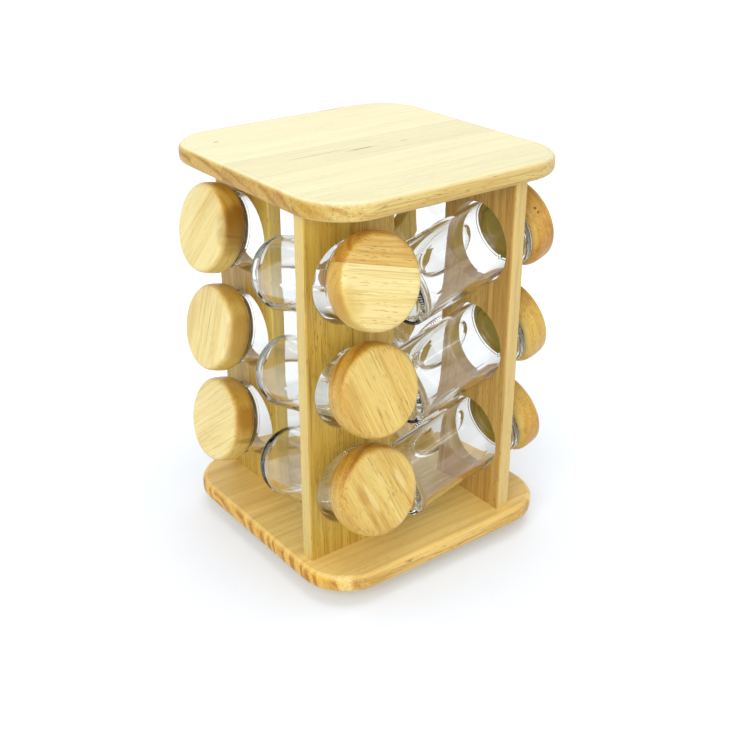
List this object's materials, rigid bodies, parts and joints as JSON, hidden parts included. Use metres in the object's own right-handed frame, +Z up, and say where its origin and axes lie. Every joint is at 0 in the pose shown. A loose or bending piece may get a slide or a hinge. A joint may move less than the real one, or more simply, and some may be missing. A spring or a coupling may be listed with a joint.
{
  "type": "rotating spice rack",
  "caption": "Square wooden spice rack that turns on a ball bearing, with tilted glass jars held in round holes of upright boards set in a pinwheel.",
  "frame": {"origin": "on the table under the middle of the rack, at the bottom of the rubber feet", "axes": "+X along the front of the rack to the right, +Y towards its back, +Z up along the turning axis"},
  "size_m": [0.1964, 0.1964, 0.2701],
  "materials": {
    "base_wood": "satin clear lacquer over golden rubberwood",
    "top_wood": "satin clear lacquer over pale rubberwood",
    "board_wood": "satin clear lacquer over rubberwood, grain upright",
    "lid_wood": "satin clear lacquer over turned rubberwood",
    "dowel_wood": "plain hardwood",
    "jar_glass": "clear pressed glass",
    "seal_silicone": "slightly clear olive silicone",
    "foot_rubber": "matt black",
    "pressed_steel": "zinc plated",
    "ball_steel": "polished",
    "screw_steel": "zinc plated"
  },
  "bodies": {
    "stand": {"lower_bearing_plate": "pressed_steel", "bearing_balls": "ball_steel", "rubber_feet": "foot_rubber"},
    "rack": {"base_plate": "base_wood", "top_plate": "top_wood", "front_board": "board_wood", "right_board": "board_wood", "back_board": "board_wood", "left_board": "board_wood", "upper_bearing_plate": "pressed_steel", "bearing_screws": "screw_steel", "board_screws": "screw_steel", "top_dowels": "dowel_wood"},
    "jar_front_bottom": {"jar_front_bottom": "jar_glass"},
    "lid_front_bottom": {"lid_front_bottom": "lid_wood", "seal_front_bottom": "seal_silicone"},
    "jar_front_middle": {"jar_front_middle": "jar_glass"},
    "lid_front_middle": {"lid_front_middle": "lid_wood", "seal_front_middle": "seal_silicone"},
    "jar_front_top": {"jar_front_top": "jar_glass"},
    "lid_front_top": {"lid_front_top": "lid_wood", "seal_front_top": "seal_silicone"},
    "jar_right_bottom": {"jar_right_bottom": "jar_glass"},
    "lid_right_bottom": {"lid_right_bottom": "lid_wood", "seal_right_bottom": "seal_silicone"},
    "jar_right_middle": {"jar_right_middle": "jar_glass"},
    "lid_right_middle": {"lid_right_middle": "lid_wood", "seal_right_middle": "seal_silicone"},
    "jar_right_top": {"jar_right_top": "jar_glass"},
    "lid_right_top": {"lid_right_top": "lid_wood", "seal_right_top": "seal_silicone"},
    "jar_back_bottom": {"jar_back_bottom": "jar_glass"},
    "lid_back_bottom": {"lid_back_bottom": "lid_wood", "seal_back_bottom": "seal_silicone"},
    "jar_back_middle": {"jar_back_middle": "jar_glass"},
    "lid_back_middle": {"lid_back_middle": "lid_wood", "seal_back_middle": "seal_silicone"},
    "jar_back_top": {"jar_back_top": "jar_glass"},
    "lid_back_top": {"lid_back_top": "lid_wood", "seal_back_top": "seal_silicone"},
    "jar_left_bottom": {"jar_left_bottom": "jar_glass"},
    "lid_left_bottom": {"lid_left_bottom": "lid_wood", "seal_left_bottom": "seal_silicone"},
    "jar_left_middle": {"jar_left_middle": "jar_glass"},
    "lid_left_middle": {"lid_left_middle": "lid_wood", "seal_left_middle": "seal_silicone"},
    "jar_left_top": {"jar_left_top": "jar_glass"},
    "lid_left_top": {"lid_left_top": "lid_wood", "seal_left_top": "seal_silicone"}
  },
  "joints": [
    {"name": "rack_spin", "type": "hinge", "parent": "stand", "child": "rack", "pos_m": [0, 0, 0.011], "axis": [0, 0, 1], "continuous": true},
    {"name": "jar_front_bottom_slide", "type": "slide", "parent": "rack", "child": "jar_front_bottom", "axis": [0, -0.9681, 0.2504], "range_m": [0, 0.09]},
    {"name": "jar_front_middle_slide", "type": "slide", "parent": "rack", "child": "jar_front_middle", "axis": [0, -0.9681, 0.2504], "range_m": [0, 0.09]},
    {"name": "jar_front_top_slide", "type": "slide", "parent": "rack", "child": "jar_front_top", "axis": [0, -0.9681, 0.2504], "range_m": [0, 0.09]},
    {"name": "jar_right_bottom_slide", "type": "slide", "parent": "rack", "child": "jar_right_bottom", "axis": [0.9681, 0, 0.2504], "range_m": [0, 0.09]},
    {"name": "jar_right_middle_slide", "type": "slide", "parent": "rack", "child": "jar_right_middle", "axis": [0.9681, 0, 0.2504], "range_m": [0, 0.09]},
    {"name": "jar_right_top_slide", "type": "slide", "parent": "rack", "child": "jar_right_top", "axis": [0.9681, 0, 0.2504], "range_m": [0, 0.09]},
    {"name": "jar_back_bottom_slide", "type": "slide", "parent": "rack", "child": "jar_back_bottom", "axis": [0, 0.9681, 0.2504], "range_m": [0, 0.09]},
    {"name": "jar_back_middle_slide", "type": "slide", "parent": "rack", "child": "jar_back_middle", "axis": [0, 0.9681, 0.2504], "range_m": [0, 0.09]},
    {"name": "jar_back_top_slide", "type": "slide", "parent": "rack", "child": "jar_back_top", "axis": [0, 0.9681, 0.2504], "range_m": [0, 0.09]},
    {"name": "jar_left_bottom_slide", "type": "slide", "parent": "rack", "child": "jar_left_bottom", "axis": [-0.9681, 0, 0.2504], "range_m": [0, 0.09]},
    {"name": "jar_left_middle_slide", "type": "slide", "parent": "rack", "child": "jar_left_middle", "axis": [-0.9681, 0, 0.2504], "range_m": [0, 0.09]},
    {"name": "jar_left_top_slide", "type": "slide", "parent": "rack", "child": "jar_left_top", "axis": [-0.9681, 0, 0.2504], "range_m": [0, 0.09]},
    {"name": "lid_front_bottom_pull", "type": "slide", "parent": "jar_front_bottom", "child": "lid_front_bottom", "axis": [0, -0.9681, 0.2504], "range_m": [0, 0.03]},
    {"name": "lid_front_middle_pull", "type": "slide", "parent": "jar_front_middle", "child": "lid_front_middle", "axis": [0, -0.9681, 0.2504], "range_m": [0, 0.03]},
    {"name": "lid_front_top_pull", "type": "slide", "parent": "jar_front_top", "child": "lid_front_top", "axis": [0, -0.9681, 0.2504], "range_m": [0, 0.03]},
    {"name": "lid_right_bottom_pull", "type": "slide", "parent": "jar_right_bottom", "child": "lid_right_bottom", "axis": [0.9681, 0, 0.2504], "range_m": [0, 0.03]},
    {"name": "lid_right_middle_pull", "type": "slide", "parent": "jar_right_middle", "child": "lid_right_middle", "axis": [0.9681, 0, 0.2504], "range_m": [0, 0.03]},
    {"name": "lid_right_top_pull", "type": "slide", "parent": "jar_right_top", "child": "lid_right_top", "axis": [0.9681, 0, 0.2504], "range_m": [0, 0.03]},
    {"name": "lid_back_bottom_pull", "type": "slide", "parent": "jar_back_bottom", "child": "lid_back_bottom", "axis": [0, 0.9681, 0.2504], "range_m": [0, 0.03]},
    {"name": "lid_back_middle_pull", "type": "slide", "parent": "jar_back_middle", "child": "lid_back_middle", "axis": [0, 0.9681, 0.2504], "range_m": [0, 0.03]},
    {"name": "lid_back_top_pull", "type": "slide", "parent": "jar_back_top", "child": "lid_back_top", "axis": [0, 0.9681, 0.2504], "range_m": [0, 0.03]},
    {"name": "lid_left_bottom_pull", "type": "slide", "parent": "jar_left_bottom", "child": "lid_left_bottom", "axis": [-0.9681, 0, 0.2504], "range_m": [0, 0.03]},
    {"name": "lid_left_middle_pull", "type": "slide", "parent": "jar_left_middle", "child": "lid_left_middle", "axis": [-0.9681, 0, 0.2504], "range_m": [0, 0.03]},
    {"name": "lid_left_top_pull", "type": "slide", "parent": "jar_left_top", "child": "lid_left_top", "axis": [-0.9681, 0, 0.2504], "range_m": [0, 0.03]}
  ]
}
